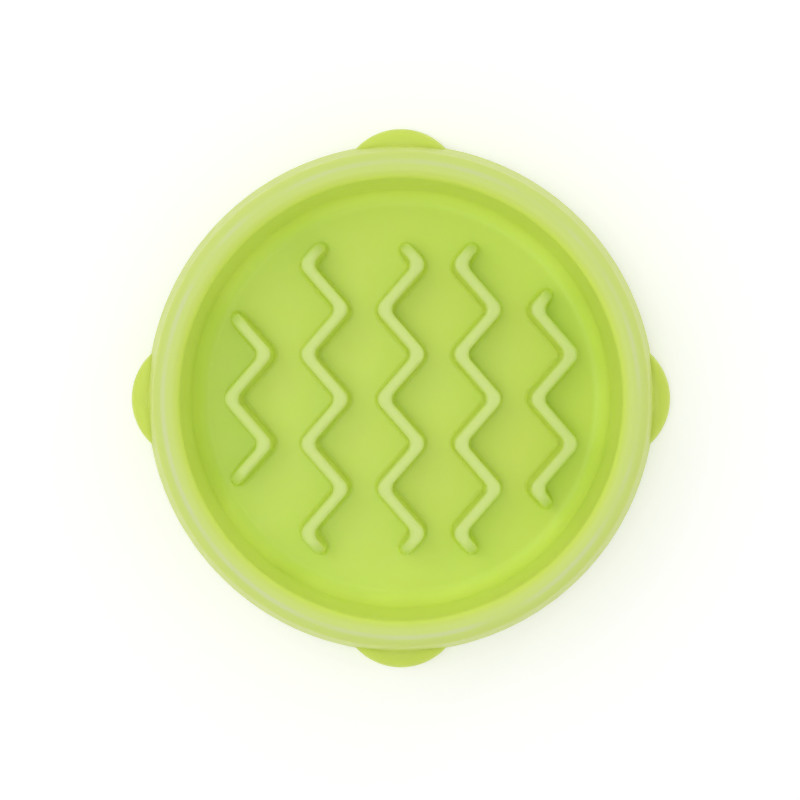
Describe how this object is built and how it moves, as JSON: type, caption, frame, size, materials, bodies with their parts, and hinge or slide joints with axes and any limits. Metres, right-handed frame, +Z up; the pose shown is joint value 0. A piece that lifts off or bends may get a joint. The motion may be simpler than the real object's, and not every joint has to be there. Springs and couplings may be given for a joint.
{
  "type": "slow feeder bowl",
  "caption": "Round shallow pet bowl with upright zig-zag ridges on its floor that slow eating, a rounded rim, a flared skirt with low round lobes, and rubber pads.",
  "frame": {"origin": "centre of the bowl, on the surface it stands on", "axes": "+Z up, the ridges run along Y, +X points from the first ridge to the last"},
  "size_m": [0.1748, 0.1748, 0.036],
  "materials": {
    "lime_plastic": "satin",
    "pad_rubber": "matte"
  },
  "bodies": {
    "root": {"bowl": "lime_plastic", "foot_pad_right": "pad_rubber", "foot_pad_back": "pad_rubber", "foot_pad_left": "pad_rubber", "foot_pad_front": "pad_rubber"}
  },
  "joints": []
}
